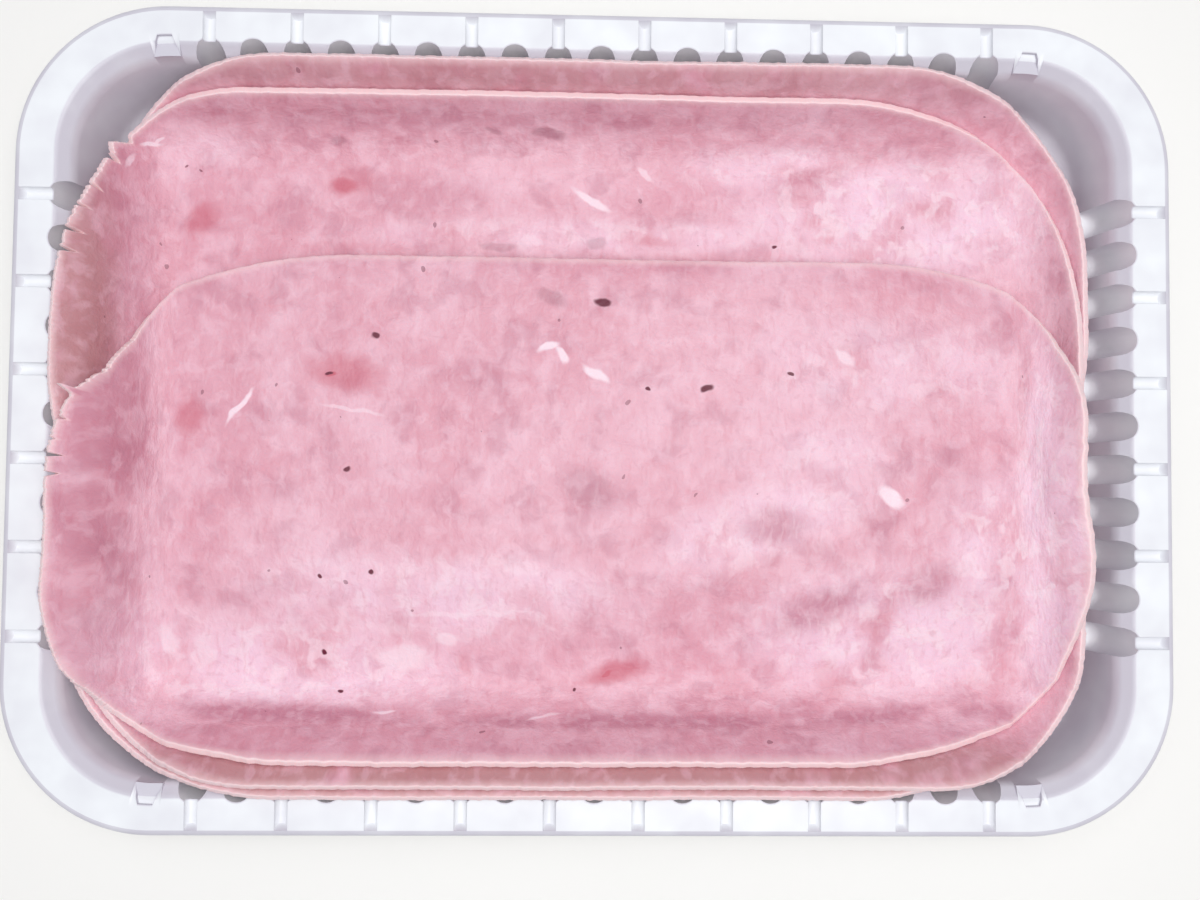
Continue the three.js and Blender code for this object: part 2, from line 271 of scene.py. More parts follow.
@dataclass(frozen=True)
class ThermoformedPolypropylene:
    """Polypropylene sheet, vacuum formed: satin white.

    The plug and the mould leave a soft unevenness. The colour `drawn` is painted shade, which greys
    the floor, the walls, the sloping band and the rim's edge as far as the attribute `drawn` says.
    """

    white: str = "f5f8fb"
    # Colour of the painted shade on the floor, walls, sloping band and rim's edge.
    drawn: str = "d3d0da"
    roughness: float = 0.33
    ior: float = 1.49
    uneven: float = 0.35
    uneven_mm: float = 9.0
    uneven_deep_mm: float = 0.4
    grain_mm: float = 0.9
    grain_deep_mm: float = 0.1

    def material(self) -> bpy.types.Material:
        """Builds the material."""
        made, tree = empty_material("tray_polypropylene")
        place = add(tree, "TexCoord").outputs["Object"]
        # The share of painted shade at each point, read from the mesh's attribute `drawn`.
        drawn = add(tree, "Attribute", attribute_name="drawn").outputs["Fac"]
        cloud = add(tree, "TexNoise", {"Vector": place, "Scale": per(self.uneven_mm), "Detail": 2.0})
        patches = {"Value": cloud.outputs["Fac"], "From Min": 0.3, "From Max": 0.7, "To Max": self.uneven}
        shade = add(tree, "MapRange", patches)
        # Painted shade and the random unevenness together, mixed from white towards the shade colour.
        share = add(tree, "Math", {0: drawn, 1: shade.outputs[0]}, operation="ADD", use_clamp=True)
        tones = {0: share.outputs[0], 6: linear(self.white), 7: linear(self.drawn)}
        colour = add(tree, "Mix", tones, data_type="RGBA")
        grain = add(tree, "TexNoise", {"Vector": place, "Scale": per(self.grain_mm), "Detail": 3.0})
        gloss = {"To Min": self.roughness - 0.05, "To Max": self.roughness + 0.07}
        satin = add(tree, "MapRange", {"Value": grain.outputs["Fac"], **gloss})
        swells = {"Strength": 0.25, "Distance": self.uneven_deep_mm * MM, "Height": cloud.outputs["Fac"]}
        soft = add(tree, "Bump", swells)
        grains = {"Strength": 0.08, "Distance": self.grain_deep_mm * MM, "Height": grain.outputs["Fac"]}
        fine = add(tree, "Bump", {**grains, "Normal": soft.outputs[0]})
        shader = add(
            tree,
            "BsdfPrincipled",
            {
                "Base Color": colour.outputs[2],
                "Roughness": satin.outputs[0],
                "IOR": self.ior,
                "Normal": fine.outputs[0],
            },
        )
        add(tree, "OutputMaterial", {"Surface": shader.outputs[0]})
        return made


@dataclass
class Tray:
    """The tray: ribbed rim with a turned-down lip, fluted walls, four stacking lugs, flat floor."""

    form: TrayForm
    finish: ThermoformedPolypropylene = ThermoformedPolypropylene()
    crease: float = math.radians(50)
    corner_steps: int = 26
    flute_steps: int = 12
    least_step: float = 0.03
    foot_heights: tuple[float, ...] = (4.6, 4.95, 5.05, 5.2, 5.5, 6.0, 6.6, 7.4)
    outer_foot_heights: tuple[float, ...] = (5.2, 4.7, 4.2)
    lug_edges: tuple[float, ...] = (
        -2.84, -2.78, -2.3, -1.8, -1.3, -0.6, 0.1, 0.8, 1.3, 1.8, 2.3, 2.78, 2.84,
    )
    # Shares of painted shade: on the floor and walls between the flutes, on the sloping band, and on the
    # rim's edge and lip.
    wall_shade: float = 0.7
    band_shade: float = 0.85
    rim_shade: float = 0.75

    def places_along(self, ribs: int, half: float) -> Array:
        """Gives the stations along one straight side, closest at flutes and grooves.

        Args:
            ribs: The side's number of ribs.
            half: Half the length of its straight part.

        Returns:
            Places in mm from the side's middle, rising.
        """
        f = self.form
        last = (ribs - 1) / 2
        flutes = np.arange(-last, last + 0.25, 0.5) * f.rib_pitch
        grooves = np.arange(-last, last + 0.5) * f.rib_pitch
        arc = np.sin(np.linspace(-math.pi / 2, math.pi / 2, self.flute_steps + 1))
        outer = f.flute_radius + f.sheet
        hollow = np.concatenate([f.flute_radius * arc, outer * np.array([-1.0, -0.9, 0.9, 1.0])])
        step = np.array([f.groove_half - 0.02, f.groove_half + 0.02, f.groove_half + f.sheet])
        wanted = np.concatenate(
            [
                (flutes[:, None] + hollow).ravel(),
                (grooves[:, None] + np.concatenate([-step, step])).ravel(),
                np.linspace(-half, half, int(half / 2)),
            ]
        )
        inside = np.unique(np.round(wanted[np.abs(wanted) <= half], 3))
        return inside[np.concatenate([[True], np.diff(inside) > self.least_step])]

    def stations(self) -> Stations:
        """Lays out every station: four straight sides, each followed by a rounded corner."""
        f = self.form
        corner, along, facing, flute, rib, lug = [], [], [], [], [], []
        lug_edges = np.array(self.lug_edges)
        for quarter in range(4):
            turn = quarter * math.pi / 2
            out = np.round([math.cos(turn), math.sin(turn)])
            left = np.array([-out[1], out[0]])
            long = quarter % 2 == 1
            ring = f.mouth
            ribs = f.ribs_long if long else f.ribs_short
            half = (ring.x if long else ring.y) - ring.r
            places = self.places_along(ribs, half)
            if long:
                near = half - f.lug_x - lug_edges
                extra = half - near[near > self.least_step]
                extra = extra[extra < half]
                places = np.unique(np.concatenate([places, extra, -extra]))
            last = (ribs - 1) / 2
            nearest = np.clip(np.round(places / f.rib_pitch * 2) / 2, -last, last) * f.rib_pitch
            snapped = np.clip(np.round(places / f.rib_pitch - last) + last, -last, last) * f.rib_pitch
            corner.append(np.tile(out, (len(places), 1)))
            along.append(places[:, None] * left)
            facing.append(np.tile(out, (len(places), 1)))
            flute.append(places - nearest)
            rib.append(places - snapped)
            lug.append(np.abs(places) - f.lug_x if long else np.full(len(places), -FAR))
            arc = ring.r * math.pi / 2
            reach = lug_edges + f.lug_x - (f.mouth.x - f.mouth.r)
            reach = reach[reach > self.least_step]
            steps = np.linspace(0, arc, self.corner_steps)[1:-1]
            from_long = np.unique(np.concatenate([steps, reach]))
            passed = from_long if long else (arc - from_long)[::-1]
            angle = turn + passed / ring.r
            corner.append(np.tile(out + left, (len(angle), 1)))
            along.append(np.zeros((len(angle), 2)))
            facing.append(np.stack([np.cos(angle), np.sin(angle)], axis=1))
            flute.append(np.full(len(angle), FAR))
            rib.append(np.full(len(angle), FAR))
            travelled = passed if long else arc - passed
            lug.append(f.mouth.x - f.mouth.r + travelled - f.lug_x)
        return Stations(*(np.concatenate(part) for part in (corner, along, facing, flute, rib, lug)))

    def level(self, at: Stations, reach: Array, z: Array | float) -> Array:
        """Gives the points at a reach from the mouth's edge: inside it the mouth's ring shrinks,
        outside it the ring passes evenly into the rim's outer ring.

        Args:
            at: The stations.
            reach: Distance outwards from the mouth's edge in mm.
            z: Height in mm.

        Returns:
            The points, shaped (stations, 3).
        """
        rim = at.on(self.form.rim, 0)
        edge = at.on(self.form.mouth, 0)
        share = np.maximum(reach, 0) / np.linalg.norm(rim - edge, axis=1)
        inner = at.on(self.form.mouth, np.minimum(reach, 0))
        flat = inner + (rim - edge) * share[:, None]
        return np.concatenate([flat, np.broadcast_to(z, at.flute.shape)[:, None]], axis=1)

    def bend(self, at: Stations, offset: float, steps: int) -> list[Array]:
        """Gives the rings of the quarter bend between floor and wall.

        Args:
            at: The stations.
            offset: How far outside the tray's inner face the bend lies.
            steps: The number of rings less one.

        Returns:
            Rings from the floor up.
        """
        f = self.form
        centre = -f.wall_inset(f.sheet) - f.foot_bend * math.tan(math.pi / 4 - f.draft / 2)
        radius = f.foot_bend + offset
        zero = np.zeros(at.flute.shape)
        angles = np.linspace(0, math.pi / 2 - f.draft, steps + 1)
        return [
            self.level(at, zero + centre + radius * math.sin(a), f.sheet + f.foot_bend - radius * math.cos(a))
            for a in angles
        ]

    def inner_rings(self, at: Stations) -> list[Array]:
        """Gives the face that shows from above, from the floor to the rim's outer edge.

        At each station the wall stands back by the flute's half circle, the root of its radius
        squared less the distance squared, and runs up until it meets the sloping band, the groove's
        bottom or the rim. A lug has a level ledge instead, up to its two slanted sides.

        Args:
            at: The stations.

        Returns:
            Rings in order.
        """
        f = self.form
        hollow = np.sqrt(np.maximum(f.flute_radius**2 - at.flute**2, 0))
        half = f.groove_half
        groove = np.interp(
            np.abs(at.rib),
            [0, half / 2, half - 0.01, half + 0.01],
            [f.groove_deep, f.groove_deep, f.groove_heel, 0],
        )
        top = f.height - groove
        ease_foot = f.height - f.ease_deep
        slope = f.ease_in / f.ease_deep
        meet = np.minimum(ease_foot + hollow / (slope - math.tan(f.draft)), top)
        rings = self.bend(at, 0, 8)
        low = rings[-1][0, 2]
        for z in self.foot_heights:
            if z > low:
                rings.append(self.level(at, hollow * self.foot_round(z) - f.wall_inset(z), z))
        start = self.foot_heights[-1]
        for share in (0.25, 0.5, 0.75, 1.0):
            z = start + (meet - start) * share
            rings.append(self.level(at, hollow - f.wall_inset(z), z))
        meet_reach = hollow - f.wall_inset(meet)
        edge = np.maximum(meet_reach, 0) + 0.03
        is_lug = np.abs(at.lug) < f.lug_wide
        shelf = f.height - f.lug_level
        side = (f.lug_inward + f.lug_outward) / (f.lug_wide - f.lug_narrow)
        ledge = f.lug_outward - np.maximum(np.abs(at.lug) - f.lug_narrow, 0) * side
        ledge = np.maximum(ledge, -f.lug_inward + 0.05)
        over = np.where(ledge < 0, f.height + ledge / slope, f.height)
        lug_path = [
            (-f.lug_inward + 0 * ledge, shelf),
            ((ledge - f.lug_inward) / 2, shelf),
            (ledge, shelf),
            (ledge + 0.02, np.maximum(over, shelf + 0.02)),
        ]
        for share, (reach, z) in zip((0.25, 0.5, 0.75, 1.0), lug_path):
            plain_reach = meet_reach + (edge - meet_reach) * share
            plain_z = meet + (top - meet) * share
            rings.append(
                self.level(at, np.where(is_lug, reach, plain_reach), np.where(is_lug, z, plain_z))
            )
        edge = np.where(is_lug, np.maximum(ledge, 0) + 0.06, edge)
        width = np.linalg.norm(at.on(f.rim, 0) - at.on(f.mouth, 0), axis=1)
        slope_foot = width - f.groove_slope * groove - 0.05
        for share in (0.06, 0.35, 0.7, 1.0):
            rings.append(self.level(at, edge + (slope_foot - edge) * share, top))
        rings.append(self.level(at, width, f.height))
        return rings

    def foot_round(self, z: float) -> float:
        """The share of its depth that a flute has at height z: its foot is a quarter circle."""
        part = min(max((z - self.form.flute_foot) / self.form.flute_round, 0), 1)
        return math.sqrt(1 - (1 - part) ** 2)

    def lip_rings(self, at: Stations) -> list[Array]:
        """Gives the lip: over a rounded shoulder, down outside, round its foot and up inside."""
        f = self.form
        foot = f.height - f.lip_drop
        under = f.height - f.sheet
        shoulder = f.height - f.shoulder_down
        path = [
            (f.rim, 0.4, f.height - 0.06),
            (f.rim, 0.8, f.height - 0.26),
            (f.rim, f.shoulder_out, shoulder),
            (f.lip, -0.22, (shoulder + foot) / 2 + 0.3),
            (f.lip, 0.0, foot + 0.15),
            (f.lip, -0.15, foot),
            (f.lip, -f.sheet + 0.15, foot),
            (f.lip, -f.sheet, foot + 0.15),
            (f.rim, f.shoulder_out - f.sheet, shoulder - 0.2),
            (f.rim, -f.sheet / 2, under),
        ]
        tall = np.ones((len(at.flute), 1))
        return [np.concatenate([at.on(ring, grow), z * tall], axis=1) for ring, grow, z in path]

    def outer_rings(self, at: Stations) -> list[Array]:
        """Gives the underside: below the rim and its grooves, down the outside, under the floor.

        The outside of a flute is a half circle one sheet thickness larger than its inside.

        Args:
            at: The stations.

        Returns:
            Rings from the lip inwards.
        """
        f = self.form
        big = f.flute_radius + f.sheet
        hollow = np.sqrt(np.maximum(big**2 - at.flute**2, 0))
        half = f.groove_half + f.sheet
        groove = np.interp(
            np.abs(at.rib),
            [0, half / 2, half - 0.03, half - 0.01],
            [f.groove_deep, f.groove_deep, f.groove_heel, 0],
        )
        under = f.height - f.sheet
        top = under - groove
        band_foot = f.height - f.ease_deep - f.sheet / 2
        band_low = f.sheet - f.wall_inset(band_foot)

        def stand(z: Array) -> Array:
            """The outer face's reach at height z: the wall with its flutes, or the sloping band."""
            wall = f.sheet - f.wall_inset(z) + hollow * smoothstep(z, f.flute_foot - 1, f.flute_foot + 0.6)
            band = band_low + (z - band_foot) * (f.sheet / 2 - band_low) / (under - band_foot)
            return np.maximum(wall, band)

        width = np.linalg.norm(at.on(f.rim, 0) - at.on(f.mouth, 0), axis=1)
        outer = width - f.sheet / 2 - f.groove_slope * groove - 0.3
        inner = stand(top)
        rings = [self.level(at, outer + (inner - outer) * share, top) for share in (0, 0.3, 0.7, 1.0)]
        low = 5.8
        for share in (0.2, 0.45, 0.7, 0.9, 1.0):
            z = top + (low - top) * share
            rings.append(self.level(at, stand(z), z))
        for z in self.outer_foot_heights:
            flat = np.full(at.flute.shape, z)
            rings.append(self.level(at, stand(flat), flat))
        return [*rings, *self.bend(at, f.sheet, 6)[::-1]]

    def build(self) -> bpy.types.Object:
        """Builds the tray and puts it in the place of its solid.

        The attribute `drawn` holds painted shade, so how grey the sheet looks. On the inner face it
        is highest between the flutes, on the sloping band and at the rim's edge and lip; it is lower
        inside the flutes, which are painted lighter. The last nine inner rings are four for the band
        and five for the rim.
        """
        at = self.stations()
        inner = self.inner_rings(at)
        rings = np.stack([*inner, *self.lip_rings(at), *self.outer_rings(at)])
        drawn = np.zeros(rings.shape[:2])
        hollow = np.sqrt(np.maximum(self.form.flute_radius**2 - at.flute**2, 0)) / self.form.flute_radius
        rim_edge = len(inner) - 1
        # Painted shade on the floor and walls, less inside the flutes, where the lighter colour is painted
        # light.
        drawn[: rim_edge - 8] = self.wall_shade * (1 - hollow)
        # Painted shade on the sloping band, then on the rim's outer edge and over the lip.
        drawn[rim_edge - 8 : rim_edge - 4] = self.band_shade
        drawn[rim_edge : rim_edge + 7] = self.rim_shade
        piece = closed_surface(
            "tray_thermoformed", rings, self.finish.material(), self.crease, {"drawn": drawn}
        )
        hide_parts("tray")
        return piece


# ---- Ham ---------------------------------------------------------------------------------------


@dataclass(frozen=True)
class Bed:
    """The plane that the slices' outlines are drawn on, and how it lies in the tray.

    The plane has u along the tray and v across it. It is flat over the floor and follows a path up
    the walls: a bend, a straight run at the angle `climb`, a bend back over the mouth's edge, and
    on. Run and last part, drawn straight, meet `turn_in` inside the mouth and `turn_down` below it.
    """

    form: TrayForm
    thick: float = 1.7
    gap: float = 0.3
    bend: float = 17.0
    climb: float = math.radians(60)
    turn_in: float = 2.83
    turn_down: float = 1.83
    flare_bend: float = 8.0
    past: float = 9.0
    over: float = 12.0
    ripple: float = 0.3

    @property
    def pitch(self) -> float:
        """The rise of each slice lying on another."""
        return self.thick + self.gap

    @property
    def base(self) -> float:
        """The height of the lowest slice's underside on the floor."""
        return self.form.sheet + self.gap

    @property
    def rise(self) -> float:
        """How much higher the path turns back than its first bend ends."""
        return self.form.height - self.turn_down - self.base - self.bend * (1 - math.cos(self.climb))

    def path(self) -> list[tuple[float, float]]:
        """Gives the steps of the path up a wall, each a length and the angle turned through."""
        back = self.climb - math.atan2(self.form.ease_deep, self.form.ease_in)
        run = self.rise / math.sin(self.climb) - self.flare_bend * math.tan(back / 2)
        return [
            (self.bend * self.climb, self.climb),
            (run, 0.0),
            (self.flare_bend * back, -back),
            (math.inf, 0.0),
        ]

    def line(self) -> Ring:
        """Gives the rounded line on the floor where the path starts."""
        f = self.form
        inset = self.turn_in + self.bend * math.sin(self.climb) + self.rise / math.tan(self.climb)
        return Ring(f.mouth.x - inset, f.mouth.y - inset, f.mouth.r - inset)

    def walk(self, s: Array, n: Array) -> tuple[Array, Array]:
        """Gives points by their distance along the path and above it.

        Args:
            s: Distance along the path in mm.
            n: Height above it, square to it.

        Returns:
            How far outwards and how high each point is.
        """
        x, z, angle, left = (np.zeros_like(s), np.zeros_like(s), np.zeros_like(s), s.copy())
        for length, turn in self.path():
            part = np.minimum(left, length)
            if turn == 0:
                x += part * np.cos(angle)
                z += part * np.sin(angle)
            else:
                radius = length / turn
                ahead = angle + part / radius
                x += radius * (np.sin(ahead) - np.sin(angle))
                z += radius * (np.cos(angle) - np.cos(ahead))
                angle = ahead
            left = left - part
        return x - n * np.sin(angle), z + n * np.cos(angle)

    def place(self, u: Array, v: Array, n: Array) -> Array:
        """Gives where points of the plane lie in the tray.

        Args:
            u: Place along the tray in mm.
            v: Place across it.
            n: Height above the lowest slice's underside.

        Returns:
            The points, with 3 as the last size.
        """
        line = self.line()
        over_x = np.maximum(np.abs(u) - line.x + line.r, 0)
        over_y = np.maximum(np.abs(v) - line.y + line.r, 0)
        over = np.maximum(np.hypot(over_x, over_y), 1e-9)
        beyond = np.maximum(over - line.r, 0)
        reach, rise = self.walk(beyond, n)
        spread = np.where(beyond > 0, (line.r + reach) / over, 1.0)
        return np.stack(
            [
                np.sign(u) * (np.abs(u) - over_x + spread * over_x),
                np.sign(v) * (np.abs(v) - over_y + spread * over_y),
                self.base + rise,
            ],
            axis=-1,
        )

    def swell(self, u: Array, v: Array) -> Array:
        """The slices' shared unevenness, never below zero: two crossed sine waves."""
        wave = np.sin(u / 13.0 + 0.6) * np.sin(v / 11.0 + 1.1) + 0.6 * np.sin((u + 1.7 * v) / 23.0)
        return self.ripple * (0.5 + 0.3 * wave)


@dataclass(frozen=True)
class Corner:
    """A quarter ellipse, `side` mm along the slice and `end` mm across it."""

    side: float
    end: float


@dataclass(frozen=True)
class Tear:
    """A notch in the left edge at v, `open` wide; a shred stands out where `deep` is below zero."""

    v: float
    deep: float
    open: float


class Spot(Enum):
    """What shows in the face of a slice of pressed ham."""

    FAT = "fat"
    PORE = "pore"
    BLUSH = "blush"
    # Darker lean meat round pores, and painted shade on the slices' curls up the walls.
    LEAN_AND_SHADE = "lean_and_shade"
    # Paler, fattier meat, and painted light where the slices face the lamps.
    PALE_AND_LIT = "pale_and_lit"
    # Painted shade on the strips of slices that curl up the walls.
    PAINTED_SHADE = "painted_shade"


@dataclass(frozen=True)
class Mark:
    """One spot: middle and full sizes in mm on the slice laid flat, its turn in degrees, its share."""

    kind: Spot
    u: float
    v: float
    long: float
    wide: float
    turn: float = 0.0
    strength: float = 1.0


@dataclass(frozen=True)
class Layer:
    """A tone laid over the meat where a noise rises from `low` to `high`.

    The noise has features of `size` mm, drawn out `stretch` times across the slice. `share` is how
    far the tone covers, and `within` names the attribute that limits it to a part of the slice.
    """

    colour: str
    size: float
    detail: float
    low: float
    high: float
    share: float
    stretch: float = 1.0
    within: Spot | None = None


WANDER = 2.2  # How far the fine pattern and the marks' rims wander, in mm.
WAVES = (5, 9, 14, 23, 37, 61, 97)
FINE_WAVES = (150, 230, 330)
JAG_PACES = (1.3, 2.1, 3.7, 6.1)
ANY_PHASE = 6.28
PINK = "e1a3b3"
LIGHT = "f5cbd9"
MAUVE = "c58195"
# A paler, colder pink: painted light where the slices face the lamps.
LILAC = "f8d4e6"
BLUSH = "cb6577"
FAT = "f9dee8"
# Colour of painted shade on the strips that curl up the walls.
PAINTED_SHADE = "bb8484"


@dataclass(frozen=True)
class PressedHam:
    """Cooked leg ham, pressed in a mould and sliced: moist, close-grained, softly mottled.

    Pieces of muscle meet in paler and mauver areas, short fibres run across the slice, fat shows as
    white flecks and cooking leaves small pores. The cut edge is drier and paler than the face.
    Placed areas also carry painted light, paler where the slices face the lamps, and painted
    shade, mauver and browner on the curls up the walls.
    """

    pink: str = PINK
    blush: str = BLUSH
    fat: str = FAT
    rind: str = "f9dadc"
    pore: str = "6b2038"
    layers: tuple[Layer, ...] = (
        Layer(LIGHT, 38, 2, 0.40, 0.62, 0.30),
        Layer(LIGHT, 11, 3, 0.47, 0.66, 0.40),
        Layer(MAUVE, 8.5, 3, 0.50, 0.69, 0.42),
        # Over the paler, lit areas: a lilac tone that is painted light, then paler meat and fat flecks.
        Layer(LILAC, 14, 2, 0.25, 0.62, 0.85, within=Spot.PALE_AND_LIT),
        Layer(FAT, 4.5, 2, 0.50, 0.64, 0.60, within=Spot.PALE_AND_LIT),
        # Over the darker areas: painted shade on the curls, and darker lean meat.
        Layer(MAUVE, 12, 3, 0.25, 0.55, 0.92, within=Spot.LEAN_AND_SHADE),
        Layer(FAT, 1.5, 3, 0.48, 0.80, 0.15, stretch=3.0),
        Layer(FAT, 1.0, 3, 0.48, 0.70, 0.24, stretch=3.0, within=Spot.PALE_AND_LIT),
        Layer(BLUSH, 1.2, 3, 0.50, 0.78, 0.16, stretch=3.0),
        # Painted shade on the curled strips.
        Layer(PAINTED_SHADE, 9, 3, 0.20, 0.50, 0.80, within=Spot.PAINTED_SHADE),
        Layer(LIGHT, 3.2, 4, 0.47, 0.70, 0.34),
        Layer(MAUVE, 1.6, 3, 0.55, 0.75, 0.20),
    )
    pore_mm: float = 14.0
    pore_spread: float = 0.20
    pore_fewer: float = 0.16
    pore_share: float = 0.5
    rim_mm: float = 1.8
    rim_share: float = 0.5
    dimple_mm: float = 6.0
    dimple_deep_mm: float = 1.2
    grain_mm: float = 0.7
    grain_deep_mm: float = 0.25
    relief_share: float = 0.35
    wet_mm: float = 11.0
    wander_mm: float = 5.0
    roughness: float = 0.42
    wetter: float = 0.12
    drier: float = 0.14
    ior: float = 1.4
    translucent: float = 0.12
    glow_mm: float = 1.6

    def spots(
        self, tree: bpy.types.NodeTree, place: Socket, marks: list[Mark], soft: float
    ) -> Socket | None:
        """Joins a mask of ellipses, each falling from one to zero round its rim.

        A point's distance from an ellipse's middle, as a share of its half sizes, is found from the
        point's dot products with the ellipse's two axes, each divided by its half size.

        Args:
            tree: The material's nodes.
            place: The pattern's coordinates.
            marks: The ellipses.
            soft: The width of the fall as a share of the ellipse.

        Returns:
            The mask, or nothing where there are no marks.
        """
        mask = None
        for mark in marks:
            cos, sin = math.cos(math.radians(mark.turn)), math.sin(math.radians(mark.turn))
            axes = np.array([[cos, sin, 0], [-sin, cos, 0]]) / [[mark.long / 2 * MM], [mark.wide / 2 * MM]]
            middle = axes @ np.array([mark.u + WANDER / 2, mark.v + WANDER / 2, 0]) * MM
            shares = {
                i: add(tree, "VectorMath", {0: place, 1: tuple(axes[i])}, operation="DOT_PRODUCT").outputs[1]
                for i in (0, 1)
            }
            here = add(tree, "CombineXYZ", shares).outputs[0]
            far = add(tree, "VectorMath", {0: here, 1: (*middle, 0)}, operation="DISTANCE").outputs[1]
            fall = {"Value": far, "From Min": 1 + soft, "From Max": 1 - soft, "To Max": mark.strength}
            inside = add(tree, "MapRange", fall, interpolation_type="SMOOTHSTEP").outputs[0]
            if mask is not None:
                inside = add(tree, "Math", {0: mask, 1: inside}, operation="MAXIMUM").outputs[0]
            mask = inside
        return mask

    def lay(
        self,
        tree: bpy.types.NodeTree,
        place: Socket,
        under: Socket | tuple[float, ...],
        layer: Layer,
    ) -> Socket:
        """Lays one tone over the colour under it.

        Args:
            tree: The material's nodes.
            place: The pattern's coordinates.
            under: The colour so far.
            layer: The tone and where it shows.

        Returns:
            The new colour.
        """
        if layer.stretch != 1:
            drawn = {0: place, 1: (1.0, 1 / layer.stretch, 1.0)}
            place = add(tree, "VectorMath", drawn, operation="MULTIPLY").outputs[0]
        pattern = {"Vector": place, "Scale": per(layer.size), "Detail": layer.detail}
        noise = add(tree, "TexNoise", pattern, noise_dimensions="2D").outputs["Fac"]
        rising = {"Value": noise, "From Min": layer.low, "From Max": layer.high, "To Max": layer.share}
        share = add(tree, "MapRange", rising, interpolation_type="SMOOTHSTEP").outputs[0]
        if layer.within:
            part = add(tree, "Attribute", attribute_name=layer.within.value).outputs["Fac"]
            share = add(tree, "Math", {0: share, 1: part}, operation="MULTIPLY").outputs[0]
        over = add(tree, "Mix", {0: share, 6: under, 7: linear(layer.colour)}, data_type="RGBA")
        return over.outputs[2]

    def relief(self, tree: bpy.types.NodeTree, place: Socket) -> Socket:
        """Makes shallow dimples with a fine grain on them.

        Args:
            tree: The material's nodes.
            place: The pattern's coordinates.

        Returns:
            The bent normal.
        """
        normal: Socket | None = None
        for size, deep in ((self.dimple_mm, self.dimple_deep_mm), (self.grain_mm, self.grain_deep_mm)):
            bumps = {"Vector": place, "Scale": per(size), "Detail": 2.0}
            noise = add(tree, "TexNoise", bumps, noise_dimensions="2D")
            height = noise.outputs["Fac"]
            sockets = {"Strength": self.relief_share, "Distance": deep * MM, "Height": height}
            if normal is not None:
                sockets["Normal"] = normal
            normal = add(tree, "Bump", sockets).outputs[0]
        return normal

    def material(self, name: str, seed: float, marks: list[Mark]) -> bpy.types.Material:
        """Builds the material of one slice.

        Args:
            name: The slice's name.
            seed: Moves the random pattern, so that no two slices match.
            marks: The spots that have a place of their own.

        Returns:
            The material.
        """
        made, tree = empty_material("pressed_ham_" + name)
        flat = add(tree, "Attribute", attribute_name="laid_flat").outputs["Vector"]
        edge = add(tree, "Attribute", attribute_name="from_edge").outputs["Fac"]
        cut = add(tree, "Attribute", attribute_name="cut").outputs["Fac"]
        drift = {"Vector": flat, "Scale": per(self.wander_mm), "Detail": 2.0}
        wander = add(tree, "TexNoise", drift, noise_dimensions="2D")
        bent = {0: wander.outputs["Color"], 1: (WANDER * MM, WANDER * MM, 0.0), 2: flat}
        own = add(tree, "VectorMath", bent, operation="MULTIPLY_ADD").outputs[0]
        moved = {0: own, 1: (seed, 0.7 * seed, 0.3 * seed)}
        place = add(tree, "VectorMath", moved, operation="ADD").outputs[0]

        pick = {kind: [mark for mark in marks if mark.kind is kind] for kind in Spot}
        colour: Input = linear(self.pink)
        for layer in self.layers:
            if layer.within is None or pick[layer.within]:
                colour = self.lay(tree, place, colour, layer)
        holes = {"Vector": place, "Scale": per(self.pore_mm), "Randomness": 1.0}
        cells = add(tree, "TexVoronoi", holes, voronoi_dimensions="2D")
        few = add(tree, "SeparateColor", {0: cells.outputs["Color"]}).outputs[0]
        sizes = {0: few, 1: self.pore_spread, 2: -self.pore_fewer}
        size = add(tree, "Math", sizes, operation="MULTIPLY_ADD").outputs[0]
        tiny = add(tree, "Math", {0: cells.outputs["Distance"], 1: size}, operation="LESS_THAN")
        faint = add(tree, "Math", {0: tiny.outputs[0], 1: self.pore_share}, operation="MULTIPLY")
        inwards = {"Value": edge, "From Min": self.rim_mm, "From Max": 0.1, "To Max": self.rim_share}
        rim = add(tree, "MapRange", inwards, interpolation_type="SMOOTHSTEP")
        covers = [
            (self.spots(tree, own, pick[Spot.BLUSH], 0.6), self.blush),
            (self.spots(tree, own, pick[Spot.FAT], 0.35), self.fat),
            (faint.outputs[0], self.pore),
            (self.spots(tree, own, pick[Spot.PORE], 0.3), self.pore),
            (rim.outputs[0], self.rind),
            (cut, self.rind),
        ]
        for share, tone in covers:
            if share is not None:
                sockets = {0: share, 6: colour, 7: linear(tone)}
                colour = add(tree, "Mix", sockets, data_type="RGBA").outputs[2]

        pools = {"Vector": place, "Scale": per(self.wet_mm), "Detail": 2.0}
        damp = add(tree, "TexNoise", pools, noise_dimensions="2D")
        gloss = {"To Min": self.roughness - self.wetter, "To Max": self.roughness + self.drier}
        shader = add(
            tree,
            "BsdfPrincipled",
            {
                "Base Color": colour,
                "Roughness": add(tree, "MapRange", {"Value": damp.outputs["Fac"], **gloss}).outputs[0],
                "IOR": self.ior,
                "Subsurface Weight": self.translucent,
                "Subsurface Radius": (1.0, 0.45, 0.4),
                "Subsurface Scale": self.glow_mm * MM,
                "Normal": self.relief(tree, place),
            },
        )
        add(tree, "OutputMaterial", {"Surface": shader.outputs[0]})
        return made


